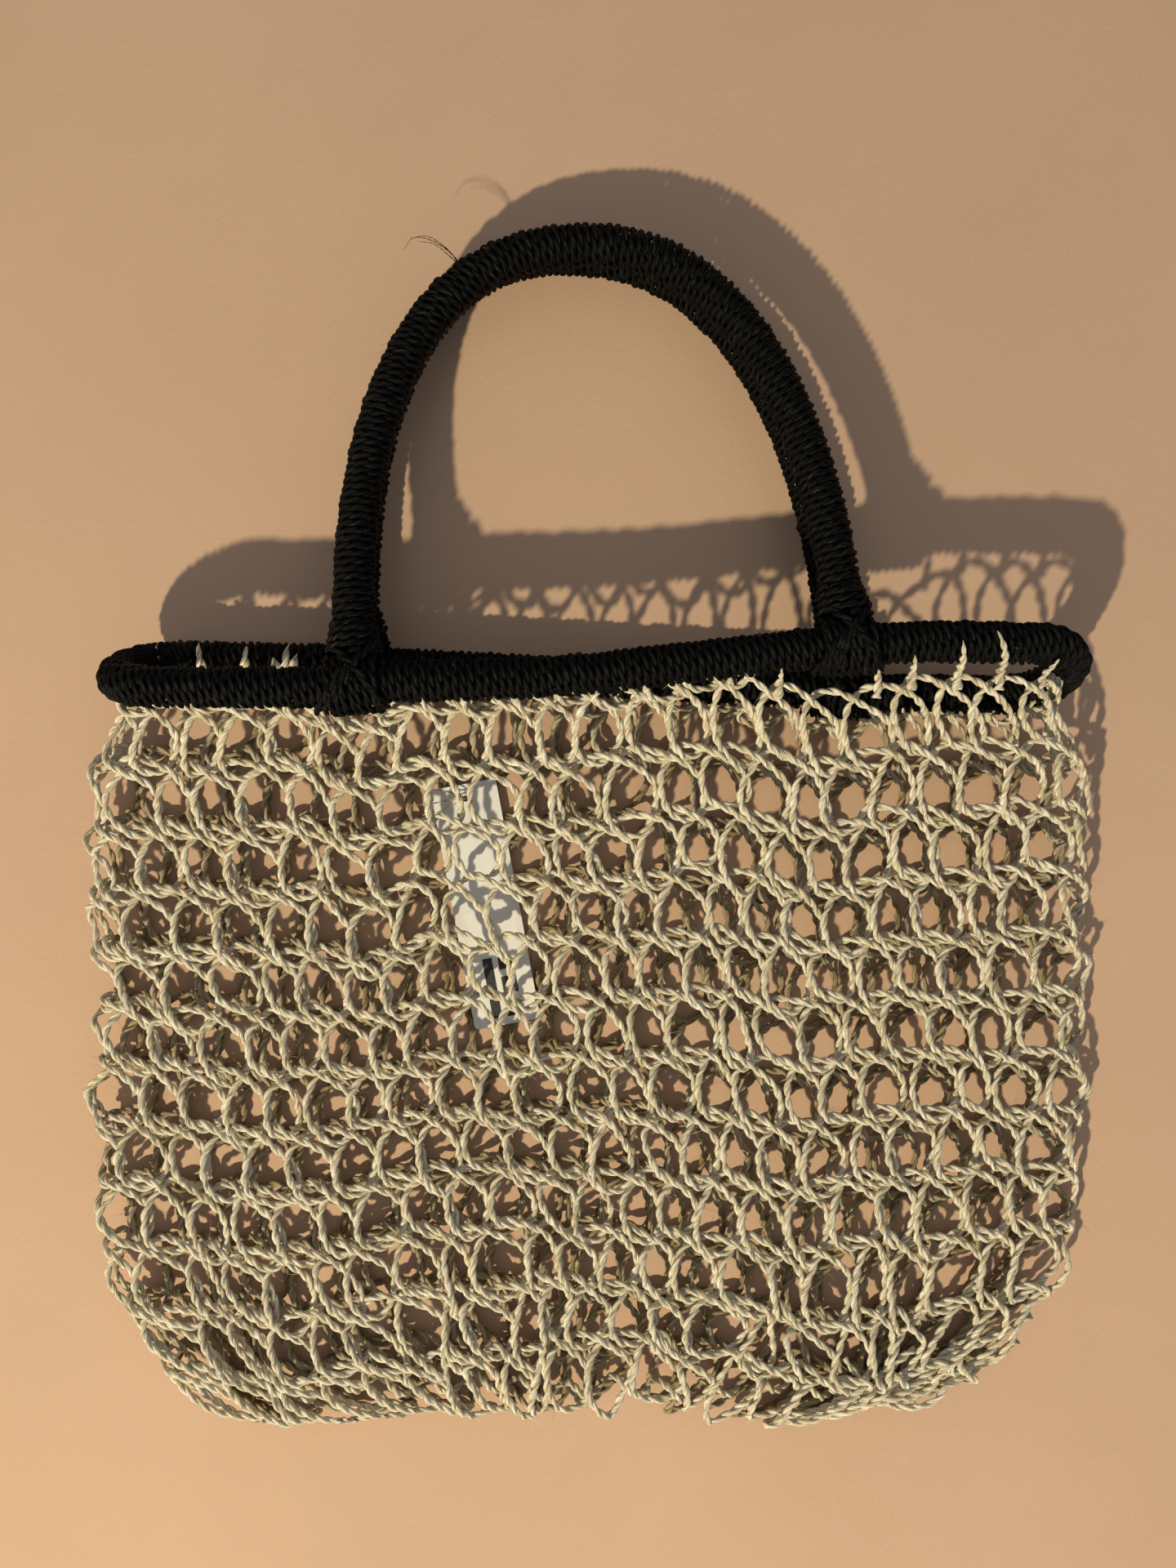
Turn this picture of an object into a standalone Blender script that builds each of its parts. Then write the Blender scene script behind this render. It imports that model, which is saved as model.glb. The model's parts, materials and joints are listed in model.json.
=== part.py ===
"""Hand-looped sisal net tote, laid flat on its back.

The bag's mouth is a springy hoop bound with black cord, standing on edge, so the front rim
rests above the back rim. A bound arch is lashed over each rim as a handle, and turns on it.
The net hangs from the hoop, and a card tag hangs inside it.
+X is across the mouth, +Y runs from the base towards the handles and +Z is up.
Sizes are in millimetres and become metres where meshes are made.
"""
import math

import bmesh
import bpy
from mathutils import Euler, Vector

MM = 0.001
GAP = 0.3                   # air left between pieces that touch

# Bound tubes: a cane core inside a layer of wrapped cord.
TUBE_RADIUS = 8.2
WRAP_WALL = 3.0
CORE_RADIUS = 4.6
TUBE_RESOLUTION = 3         # ten sides

# The hoop stands on edge: its front line is high, its back line is near the floor.
FRONT_RIM_Z = 49.0
BACK_RIM_Z = 11.6
FRONT_RIM_LINE = ((-162, 57.4), (-101, 57.2), (-87, 58.3), (-73, 59.4), (-40, 60.2), (-6, 61.8),
                  (40, 66.6), (83.3, 71.5), (97.3, 72.6), (111.3, 73.7), (136, 74.2), (166, 73.6))
BACK_RIM_LINE = ((-162, 71.4), (-106, 70.1), (-92, 69.3), (-78, 68.5), (5, 64.0),
                 (88, 59.6), (102, 58.8), (116, 58.0), (166, 57.2))
RIM_STEP = 12.0
STUB = 2.0                  # straight start of each length of wrapping

# Handles: (left foot, right foot) on the rim, the rise of the arch and its sideways lean.
FRONT_FEET = ((-87, 58.3), (97.3, 72.6))
BACK_FEET = ((-92, 69.3), (102, 58.8))
FRONT_RISE = 170.0
BACK_RISE = 172.5
BACK_LEAN = -18.0
ARCH_POWER = 2.3            # roundness of the arch: 2 is an ellipse, more is squarer
ARCH_STEPS = 30

# Lashings: sleeves of cord that turn on the rim.
LASHING_WALL = 2.6
LASHING_LENGTH = 24.0
LASHING_BORE = TUBE_RADIUS + 2 * GAP
LASHING_RADIUS = LASHING_BORE + LASHING_WALL
LEG_START = LASHING_RADIUS + 4 * GAP    # how far above the rim's axis the legs begin

# Net: two sheets as thick as the cord, meeting along the side folds and the base.
CORD = 3.4
MOUTH_HALF_WIDTH = 190.0
BODY_HALF_WIDTH = 201.5
BASE_HALF_WIDTH = 130.0
BASE_Y = -243.9
MOUTH_SPREAD = 0.16         # share of the way down where the net reaches its full width
CORNER_START = 0.66         # share of the way down where the bottom corners begin
CORNER_POWER = 1.8
NET_BELOW_RIM = LASHING_RADIUS + 1.0
FRONT_TOP_Z = 43.0          # front sheet under the rim
FRONT_LOW_Z = 14.5          # front sheet where it has sunk on to the back
SINK_LENGTH = 42.0
NET_LENGTH = 300.0
NET_COLUMNS = 22
NET_ROWS = 16

# Card tag inside the bag.
TAG_WIDTH = 27.3
TAG_LENGTH = 100.6
TAG_THICKNESS = 0.6
TAG_CORNER = 1.5
TAG_HOLE_RADIUS = 1.3
TAG_HOLE_FROM_END = 6.0
TAG_PIVOT = (-50.5, 15.0)
TAG_TILT = math.radians(10.6)
TIE_RADIUS = 0.5

BLACK_CORD = ("black_cord", (0.012, 0.012, 0.013), 0.75)
CANE = ("cane", (0.42, 0.29, 0.16), 0.7)
SISAL = ("sisal", (0.62, 0.54, 0.36), 0.8)
CARD = ("card", (0.85, 0.85, 0.83), 0.3)


def clear_scene():
    for thing in list(bpy.data.objects):
        bpy.data.objects.remove(thing, do_unlink=True)


def new_collection(name):
    collection = bpy.data.collections.new(name)
    bpy.context.scene.collection.children.link(collection)
    return collection


def finish_material(name, finish):
    """A Principled material of the piece's own: colour and roughness."""
    kind, colour, roughness = finish
    material = bpy.data.materials.new(f"{name}_{kind}")
    material.use_nodes = True
    shader = material.node_tree.nodes["Principled BSDF"]
    shader.inputs["Base Color"].default_value = (*colour, 1)
    shader.inputs["Roughness"].default_value = roughness
    shader.inputs["Metallic"].default_value = 0.0
    return material


def add_object(name, data, finish):
    thing = bpy.data.objects.new(name, data)
    PARTS.objects.link(thing)
    thing.data.materials.append(finish_material(name, finish))
    return thing


def smooth_line(points, step):
    """Points about `step` apart on a Catmull-Rom curve through the given ones."""
    points = [Vector(point) for point in points]
    ends = [2 * points[0] - points[1]] + points + [2 * points[-1] - points[-2]]
    line = []
    for before, start, end, after in zip(ends, ends[1:], ends[2:], ends[3:]):
        count = max(1, round((end - start).length / step))
        for i in range(count):
            t = i / count
            line.append(0.5 * (2 * start + (end - before) * t
                               + (2 * before - 5 * start + 4 * end - after) * t ** 2
                               + (3 * start - before - 3 * end + after) * t ** 3))
    return line + [points[-1]]


def height_on(line, x):
    """The y of a plan line at x."""
    for start, end in zip(line, line[1:]):
        if x <= end.x:
            break
    share = min(1, max(0, (x - start.x) / (end.x - start.x)))
    return start.y + share * (end.y - start.y)


def tube_curve(name, points, radius, cyclic=False, filled=True):
    """Curve data of a round tube along the points."""
    curve = bpy.data.curves.new(name, "CURVE")
    curve.dimensions = "3D"
    curve.bevel_depth = radius * MM
    curve.bevel_resolution = TUBE_RESOLUTION
    curve.use_fill_caps = filled
    spline = curve.splines.new("POLY")
    spline.points.add(len(points) - 1)
    for spline_point, point in zip(spline.points, points):
        spline_point.co = (*(point * MM), 1)
    spline.use_cyclic_u = cyclic
    return curve


def solid_tube(name, points, radius, finish, cyclic=False):
    return add_object(name, tube_curve(name, points, radius, cyclic, not cyclic), finish)


def sleeve(name, points, radius, wall, finish):
    """A hollow tube, open at both ends: a skin of the outer radius, thickened inwards."""
    skin = bpy.data.objects.new(f"{name}_skin", tube_curve(name, points, radius, filled=False))
    PARTS.objects.link(skin)
    evaluated = skin.evaluated_get(bpy.context.evaluated_depsgraph_get())
    mesh = bpy.data.meshes.new_from_object(evaluated)
    bpy.data.objects.remove(skin)
    thing = add_object(name, mesh, finish)
    thing.data.shade_smooth()
    shell = thing.modifiers.new("wall", "SOLIDIFY")
    shell.thickness = wall * MM
    shell.offset = -1
    return thing


def rim_line(plan_line, z):
    return [Vector((point.x, point.y, z)) for point in plan_line]


def end_bend(high, low, outwards, steps=12):
    """A half circle from the front line's end down to the back line's, bulging outwards."""
    centre = (high + low) / 2
    spoke = high - centre
    bulge = Vector((outwards * spoke.length, 0, 0))
    angles = [math.pi * i / steps for i in range(steps + 1)]
    return [centre + spoke * math.cos(angle) + bulge * math.sin(angle) for angle in angles]


def squared_ends(points, first_way, last_way):
    """The points with ends that face squarely along x, drawn back from the joint by half a gap."""
    first, last = Vector((first_way, 0, 0)), Vector((last_way, 0, 0))
    return ([points[0] + first * GAP / 2, points[0] + first * STUB] + points[1:-1]
            + [points[-1] + last * STUB, points[-1] + last * GAP / 2])


def build_rim(front_plan, back_plan):
    """The cane hoop and the four lengths of cord wrapping that cover it."""
    front = rim_line(front_plan, FRONT_RIM_Z)
    back = rim_line(back_plan, BACK_RIM_Z)
    left = end_bend(front[0], back[0], -1)
    right = end_bend(front[-1], back[-1], 1)
    loop = front + right[1:-1] + back[::-1] + left[-2:0:-1]
    solid_tube("rim_core_hoop", loop, CORE_RADIUS, CANE, cyclic=True)
    lengths = {"front": (front, 1, -1), "back": (back, 1, -1),
               "left_end": (left, -1, -1), "right_end": (right, 1, 1)}
    for place, (points, first_way, last_way) in lengths.items():
        line = squared_ends(points, first_way, last_way)
        sleeve(f"rim_wrap_{place}", line, TUBE_RADIUS, WRAP_WALL, BLACK_CORD)


def arch_line(half_span, rise, lean, foot):
    """An arch over the x axis in the xy plane, starting `foot` above it."""
    start = math.asin((foot / rise) ** (ARCH_POWER / 2))
    line = []
    for i in range(ARCH_STEPS + 1):
        angle = start + (math.pi - 2 * start) * i / ARCH_STEPS
        across = -math.copysign(abs(math.cos(angle)) ** (2 / ARCH_POWER), math.cos(angle))
        up = math.sin(angle) ** (2 / ARCH_POWER)
        line.append(Vector((across * half_span + lean * up, up * rise, 0)))
    return line


def build_handle(side, feet, rim_z, rise, lean, tip_z):
    """One handle: an arch and two lashings on an empty whose x axis is the rim under its feet."""
    left, right = (Vector((*foot, rim_z)) for foot in feet)
    span = (right - left).length
    tilt = math.asin((tip_z - rim_z) / rise)
    pivot = bpy.data.objects.new(f"{side}_handle_pivot", None)
    PARTS.objects.link(pivot)
    pivot.location = (left + right) / 2 * MM
    turn = math.atan2(right.y - left.y, right.x - left.x)
    pivot.rotation_euler = Euler((tilt, 0, turn), "XYZ")
    arch = arch_line(span / 2, rise, lean, LEG_START)
    pieces = [solid_tube(f"handle_core_{side}", arch, CORE_RADIUS, CANE),
              sleeve(f"handle_wrap_{side}", arch, TUBE_RADIUS, WRAP_WALL, BLACK_CORD)]
    for place, x in (("left", -span / 2), ("right", span / 2)):
        ends = [Vector((x + reach, 0, 0)) for reach in (-LASHING_LENGTH / 2, LASHING_LENGTH / 2)]
        pieces.append(sleeve(f"lashing_{side}_{place}", ends, LASHING_RADIUS, LASHING_WALL,
                             BLACK_CORD))
    for piece in pieces:
        piece.parent = pivot


def half_width(down):
    """Half the net's width, a share `down` of the way from the mouth to the base."""
    if down > CORNER_START:
        share = (down - CORNER_START) / (1 - CORNER_START)
        rounding = (1 - share ** CORNER_POWER) ** (1 / CORNER_POWER)
        return BASE_HALF_WIDTH + (BODY_HALF_WIDTH - BASE_HALF_WIDTH) * rounding
    share = min(1, down / MOUTH_SPREAD)
    ease = share * share * (3 - 2 * share)
    return MOUTH_HALF_WIDTH + (BODY_HALF_WIDTH - MOUTH_HALF_WIDTH) * ease


def dome(across, down):
    """How far the front sheet stands off the back one: 1 in the middle, 0 at the side folds."""
    squareness = 3.5 + 5 * math.exp(-down * NET_LENGTH / SINK_LENGTH)
    return (1 - abs(across) ** squareness) ** (1 / squareness)


def front_height(across, down):
    """The front sheet's middle surface: high at the mouth, sunk further down, shut at its edge."""
    edge = CORD * 1.5 + GAP
    top = FRONT_LOW_Z + (FRONT_TOP_Z - FRONT_LOW_Z) * math.exp(-down * NET_LENGTH / SINK_LENGTH)
    base = (1 - down ** 4) ** (1 / 4)
    return edge + (top - edge) * dome(across, down) * base


def sheet_mesh(name, mouth_y, height):
    """A net sheet's middle surface: columns across, rows from the rim down to the base."""
    grid = bmesh.new()
    rows = []
    for j in range(NET_ROWS + 1):
        down = math.sin(math.pi / 2 * j / NET_ROWS)
        row = []
        for i in range(NET_COLUMNS + 1):
            across = math.sin(math.pi / 2 * (2 * i / NET_COLUMNS - 1))
            x = across * half_width(down)
            top_y = mouth_y(across, x) - NET_BELOW_RIM
            y = top_y + (BASE_Y - top_y) * down
            row.append(grid.verts.new(Vector((x, y, height(across, down))) * MM))
        rows.append(row)
    for upper, lower in zip(rows, rows[1:]):
        for i in range(NET_COLUMNS):
            grid.faces.new((upper[i], lower[i], lower[i + 1], upper[i + 1]))
    mesh = bpy.data.meshes.new(name)
    grid.to_mesh(mesh)
    grid.free()
    return mesh


def net_sheet(name, mouth_y, height):
    thing = add_object(name, sheet_mesh(name, mouth_y, height), SISAL)
    thing.data.shade_smooth()
    shell = thing.modifiers.new("cord_thickness", "SOLIDIFY")
    shell.thickness = CORD * MM
    shell.offset = 0


def build_net(front_plan, back_plan):
    """The two sheets of looped cord, and the foundation cord that the base was begun on."""
    def back_mouth(across, x):
        return height_on(back_plan, x)

    def front_mouth(across, x):
        """Along the front rim, and at the ends down round the hoop's bend to the back rim."""
        low = back_mouth(across, x)
        return low + dome(across, 0) * (height_on(front_plan, x) - low)

    net_sheet("net_front", front_mouth, front_height)
    net_sheet("net_back", back_mouth, lambda across, down: CORD / 2)
    run = smooth_line(((-112, -226), (-60, -222), (0, -223), (60, -224), (112, -223)), 12)
    bed = CORD * 1.5 + 2 * GAP
    foundation = [Vector((point.x, point.y, bed)) for point in run]
    solid_tube("foundation_cord", foundation, CORD / 2 - 0.1, SISAL)


def tag_card():
    """A flat card with rounded corners, its hole at the origin, hanging towards -y."""
    half = Vector((TAG_WIDTH / 2, TAG_LENGTH / 2, 0))
    centre = Vector((0, TAG_HOLE_FROM_END - TAG_LENGTH / 2, 0))
    outline = []
    for quarter, (sx, sy) in enumerate(((1, 1), (-1, 1), (-1, -1), (1, -1))):
        corner = centre + Vector((sx * (half.x - TAG_CORNER), sy * (half.y - TAG_CORNER), 0))
        for step in range(4):
            angle = math.pi / 2 * (quarter + step / 3)
            outline.append(corner + TAG_CORNER * Vector((math.cos(angle), math.sin(angle), 0)))
    hole = [TAG_HOLE_RADIUS * Vector((math.cos(angle), math.sin(angle), 0))
            for angle in (math.tau * i / 16 for i in range(16))]
    curve = bpy.data.curves.new("hang_tag", "CURVE")
    curve.dimensions = "2D"
    curve.fill_mode = "BOTH"
    curve.extrude = TAG_THICKNESS / 2 * MM
    for ring in (outline, hole):
        spline = curve.splines.new("POLY")
        spline.points.add(len(ring) - 1)
        for spline_point, point in zip(spline.points, ring):
            spline_point.co = (*(point * MM), 1)
        spline.use_cyclic_u = True
    return add_object("hang_tag", curve, CARD)


def build_tag():
    """The card on its pivot, lying on the back sheet, and the wisp of fibre that holds it."""
    rest_z = CORD + GAP + TAG_THICKNESS / 2
    card = tag_card()
    card.location = Vector((*TAG_PIVOT, rest_z)) * MM
    card.rotation_euler = (0, 0, TAG_TILT)
    x, y = TAG_PIVOT
    route = [(x, y, CORD + GAP + TIE_RADIUS), (x, y, 6), (x - 1.5, y, 7.5), (x - 5, y - 0.5, 8),
             (x - 14, y - 2, 8), (x - 25, y - 3, 7.5)]
    solid_tube("tag_tie", smooth_line(route, 1.5), TIE_RADIUS, SISAL)


clear_scene()
PARTS = new_collection("net_tote_bag")
front_line = smooth_line(FRONT_RIM_LINE, RIM_STEP)
back_line = smooth_line(BACK_RIM_LINE, RIM_STEP)
build_rim(front_line, back_line)
build_handle("back", BACK_FEET, BACK_RIM_Z, BACK_RISE, BACK_LEAN, TUBE_RADIUS + GAP)
build_handle("front", FRONT_FEET, FRONT_RIM_Z, FRONT_RISE, 0, 3 * TUBE_RADIUS + 3 * GAP)
build_net(front_line, back_line)
build_tag()
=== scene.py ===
# %% [markdown]
# # A looped net bag with a bound hoop and two arched handles
# The bag is three crafts in one: a net looped from sisal cord, a hoop and handles bound with
# black cord, and a card tag. The working model, with its joints, is already built.
# This lesson dresses it: every cord is made as real twisted geometry, because on a net the cords
# are the surface, and a picture of cords on a flat sheet would fall apart at the first close look.

# %% Load the working model
import json
import math

import bpy
import numpy as np
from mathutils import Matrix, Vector

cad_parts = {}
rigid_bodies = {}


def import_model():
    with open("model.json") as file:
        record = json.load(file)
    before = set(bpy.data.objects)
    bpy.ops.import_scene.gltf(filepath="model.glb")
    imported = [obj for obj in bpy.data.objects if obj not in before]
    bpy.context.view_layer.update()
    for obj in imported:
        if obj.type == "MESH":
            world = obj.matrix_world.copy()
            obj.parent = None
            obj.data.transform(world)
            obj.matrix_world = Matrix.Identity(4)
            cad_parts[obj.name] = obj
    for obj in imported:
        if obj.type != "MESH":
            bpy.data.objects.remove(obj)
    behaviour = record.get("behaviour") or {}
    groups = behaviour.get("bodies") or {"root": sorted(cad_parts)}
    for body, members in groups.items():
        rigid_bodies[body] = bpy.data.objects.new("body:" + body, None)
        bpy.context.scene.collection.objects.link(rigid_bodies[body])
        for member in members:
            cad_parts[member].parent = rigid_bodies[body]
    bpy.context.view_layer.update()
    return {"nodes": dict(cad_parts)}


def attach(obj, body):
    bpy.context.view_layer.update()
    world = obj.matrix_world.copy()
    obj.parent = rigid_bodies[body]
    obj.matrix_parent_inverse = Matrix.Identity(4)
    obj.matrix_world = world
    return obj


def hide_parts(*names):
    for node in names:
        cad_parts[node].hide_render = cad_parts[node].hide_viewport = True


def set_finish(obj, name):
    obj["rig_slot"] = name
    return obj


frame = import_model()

MM = 0.001


# %% [markdown]
# ## Lines, and how a cord follows them
# A cord is first a line through given points. Catmull-Rom curves pass through every point
# without overshooting much, so the points stay readable. The line is then cut into equal steps.
# All lines are in millimetres, and become metres only when a mesh is made.

# %% Smooth lines
def unit(vectors):
    return vectors / np.linalg.norm(vectors, axis=-1, keepdims=True)


def curve_through(points, step):
    """Points `step` apart on a smooth curve through the given ones."""
    p = np.asarray(points, float)
    ends = np.concatenate([2 * p[:1] - p[1:2], p, 2 * p[-1:] - p[-2:-1]])
    a, b, c, d = (ends[i:len(ends) - 3 + i, None] for i in range(4))
    t = np.linspace(0, 1, 8, endpoint=False)[:, None]
    fine = 0.5 * (2 * b + (c - a) * t + (2 * a - 5 * b + 4 * c - d) * t ** 2
                  + (3 * b - a - 3 * c + d) * t ** 3)
    fine = np.concatenate([fine.reshape(-1, p.shape[1]), p[-1:]])
    run = np.concatenate([[0], np.cumsum(np.linalg.norm(np.diff(fine, axis=0), axis=1))])
    stations = np.linspace(0, run[-1], max(2, round(run[-1] / step)) + 1)
    return np.stack([np.interp(stations, run, fine[:, i]) for i in range(p.shape[1])], 1)


def tangents(line, closed=False):
    if closed:
        return unit(np.roll(line, -1, 0) - np.roll(line, 1, 0))
    return unit(np.gradient(line, axis=0))


def run_along(line):
    steps = np.linalg.norm(np.diff(line, axis=0), axis=1)
    return np.concatenate([[0], np.cumsum(steps)])


# %% [markdown]
# ## Twisted cord
# Sisal cord is two plies of combed leaf fibre twisted round each other. It could be a smooth
# tube with a striped bump map, but the silhouette of a real cord is a chain of small bulges.
# So each ply is its own tube, winding round the shared line. `up` is any direction near square
# to the cord at each point: it fixes the turn of the section, so nothing flips on tight bends.
# Each vertex also keeps `fibre`: how far along it lies, and where round the ply. The finishes
# read it later to draw streaks that run with the fibres.

# %% Cord geometry
rng = np.random.default_rng(40)


class MeshPile:
    """Quads gathered from many cords, to become one object."""

    def __init__(self):
        self.points, self.quads, self.fibre, self.tone, self.count = [], [], [], [], 0

    def add(self, points, quads, fibre, tone):
        self.points.append(points)
        self.quads.append(quads + self.count)
        self.fibre.append(fibre)
        self.tone.append(np.full(len(points), tone) if np.isscalar(tone) else tone)
        self.count += len(points)

    def build(self, name):
        mesh = bpy.data.meshes.new(name)
        points = np.concatenate(self.points) * MM
        quads = np.concatenate(self.quads)
        mesh.vertices.add(len(points))
        mesh.vertices.foreach_set("co", points.astype(np.float32).ravel())
        mesh.loops.add(quads.size)
        mesh.loops.foreach_set("vertex_index", quads.astype(np.int32).ravel())
        mesh.polygons.add(len(quads))
        mesh.polygons.foreach_set("loop_start", np.arange(0, quads.size, 4, dtype=np.int32))
        mesh.update(calc_edges=True)
        mesh.validate()
        mesh.shade_smooth()
        fibre = mesh.attributes.new("fibre", "FLOAT_VECTOR", "POINT")
        fibre.data.foreach_set("vector", np.concatenate(self.fibre).astype(np.float32).ravel())
        tone = mesh.attributes.new("tone", "FLOAT", "POINT")
        tone.data.foreach_set("value", np.concatenate(self.tone).astype(np.float32))
        thing = bpy.data.objects.new(name, mesh)
        bpy.context.scene.collection.objects.link(thing)
        return thing


def grid_quads(rings, sides, closed):
    """Quads of a tube whose vertices are numbered ring by ring."""
    ring = np.arange(rings if closed else rings - 1)[:, None]
    side = np.arange(sides)[None, :]
    after, beside = (ring + 1) % rings, (side + 1) % sides
    corners = (ring * sides + side, ring * sides + beside, after * sides + beside,
               after * sides + side)
    return np.stack(corners, -1).reshape(-1, 4)


def end_caps(rings, sides):
    """Two quads over each end of a six-sided tube."""
    first = np.array([[0, 5, 2, 1], [5, 4, 3, 2]])
    last = np.array([[0, 1, 2, 5], [2, 3, 4, 5]]) + (rings - 1) * sides
    return np.concatenate([first, last])


def add_tube(pile, centre, side, up, radius, turn, tone, closed, along):
    """One tube of six sides; `turn` spins its section so that its edges follow the fibres."""
    sides = 6
    angle = turn[:, None] + np.arange(sides) * math.tau / sides
    spoke = (np.cos(angle)[..., None] * side[:, None] + np.sin(angle)[..., None] * up[:, None])
    points = centre[:, None] + spoke * np.reshape(radius, (-1, 1, 1))
    own = np.arange(sides) * math.tau / sides
    fibre = np.empty(points.shape)
    fibre[..., 0] = along[:, None]
    fibre[..., 1], fibre[..., 2] = np.cos(own), np.sin(own)
    quads = grid_quads(len(centre), sides, closed)
    if not closed:
        quads = np.concatenate([quads, end_caps(len(centre), sides)])
    tones = np.repeat(np.broadcast_to(tone, len(centre)), sides)
    pile.add(points.reshape(-1, 3), quads, fibre.reshape(-1, 3), tones)


def add_cord(pile, line, up, radius, twist, closed=False, tone=0.5, taper=None, lumps=0.1,
             apart=0.44):
    """A cord of two plies along a line. `twist` is the length of one turn; below zero it is
    twisted the other way, and `apart` is how far the plies stand from the middle."""
    forward = tangents(line, closed)
    side = unit(np.cross(forward, up))
    up = np.cross(side, forward)
    run = run_along(line)
    length = run[-1]
    if closed:
        length += np.linalg.norm(line[0] - line[-1])
        twist = length / round(length / twist)
    thickness = np.full(len(line), radius) if taper is None else radius * taper
    waves = rng.uniform(0, math.tau, 4)
    for ply in range(2):
        turn = -math.tau * run / twist + math.pi * ply + waves[0]
        swell = 1 + lumps * (np.sin(run / 5.3 + waves[1] + ply) + 0.6 * np.sin(run / 1.9 + waves[2]))
        spoke = np.cos(turn)[:, None] * side + np.sin(turn)[:, None] * up
        centre = line + spoke * (apart * thickness)[:, None]
        add_tube(pile, centre, side, up, (1.03 - apart) * thickness * swell, turn, tone, closed,
                 run + 100 * rng.random())


# %% [markdown]
# ## The route of one loop
# The net is simple looping: a single cord goes round and round, and each loop hooks through the
# loop above it. A ready-made net texture would repeat one flat picture; here the loop is a route
# in three numbers, across, down and out of the sheet, so that each crossing really passes over
# or under. The route leaves from behind the loop above, crosses in front of it, drops down the
# right side, turns at the bottom behind the next row, and climbs the left side in front of it.

# %% One loop and the grid of loops
LOOP_WIDTH, LOOP_DROP = 19.5, 26.9
LOOP_ROUTE = np.array((
    (0.0, 0.0, -0.6), (5.4, 0.9, 1.1), (10.6, 3.2, 1.8), (15.8, 6.3, 1.5), (20.2, 10.2, 0.5),
    (23.4, 14.8, -0.8), (24.9, 19.6, -1.5), (24.8, 24.4, -1.8), (23.7, 28.2, -1.9),
    (21.3, 31.4, -1.7), (17.3, 33.0, -0.8), (12.5, 31.7, 0.7), (8.6, 28.0, 1.9),
    (6.4, 22.9, 1.6), (5.7, 16.9, 1.4), (6.8, 11.3, 0.2), (9.8, 6.8, -1.5),
    (13.2, 3.4, -2.1), (16.6, 1.0, -2.1)))
ROW_SHIFT = 0.615               # each row starts this share of a loop further on
LOOPS, ROWS = 46, 12
ROW_PITCH = 24.6
NET_LENGTH = 301.0
SISAL_RADIUS, SISAL_TWIST = 1.5, 12.0
print("loops in the net:", LOOPS * ROWS)


# %% [markdown]
# ## The shape of the lying bag
# The bag lies on its back. Its hoop stands on edge, so the front of the mouth is high and the
# net sinks from there on to the back panel. Each level of the net is a flattened ring: a flat
# front, a round fold at each side and a flat back. One function gives the point of the bag for
# a share round the ring and a share of the way down. The net could be draped by simulation, but
# cords this stiff hold the shape they were looped in, and the function keeps them in the model.

# %% The rim lines and the rings of the net
FRONT_RIM_Z, BACK_RIM_Z = 49.0, 11.6
FRONT_RIM_LINE = ((-162, 57.4), (-101, 57.2), (-87, 58.3), (-73, 59.4), (-40, 60.2), (-6, 61.8),
                  (40, 66.6), (83.3, 71.5), (97.3, 72.6), (111.3, 73.7), (136, 74.2), (166, 73.6))
BACK_RIM_LINE = ((-162, 71.4), (-106, 70.1), (-92, 69.3), (-78, 68.5), (5, 64.0),
                 (88, 59.6), (102, 58.8), (116, 58.0), (166, 57.2))
front_rim = curve_through(FRONT_RIM_LINE, 2)
back_rim = curve_through(BACK_RIM_LINE, 2)
BELOW_AXIS = 5.0                # the net starts this far below the hoop's centre line
BASE_EDGE = np.array(((-190, -238), (-122, -245.5), (-95, -239), (-78, -235), (0, -236), (50, -239),
                      (88, -242), (112, -237), (135, -238), (190, -232)))    # x, y of the base


def ease(share):
    share = np.clip(share, 0, 1)
    return share * share * (3 - 2 * share)


def half_width(v):
    """Half the width of the ring a share v of the way down."""
    upper = 181 + 15.5 * ease(v / 0.13)
    corner = np.clip((v - 0.66) / 0.34, 0, 1)
    lower = 122 + 74.5 * (1 - corner ** 1.9) ** (1 / 1.9)
    return np.where(v < 0.66, upper, lower)


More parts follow.
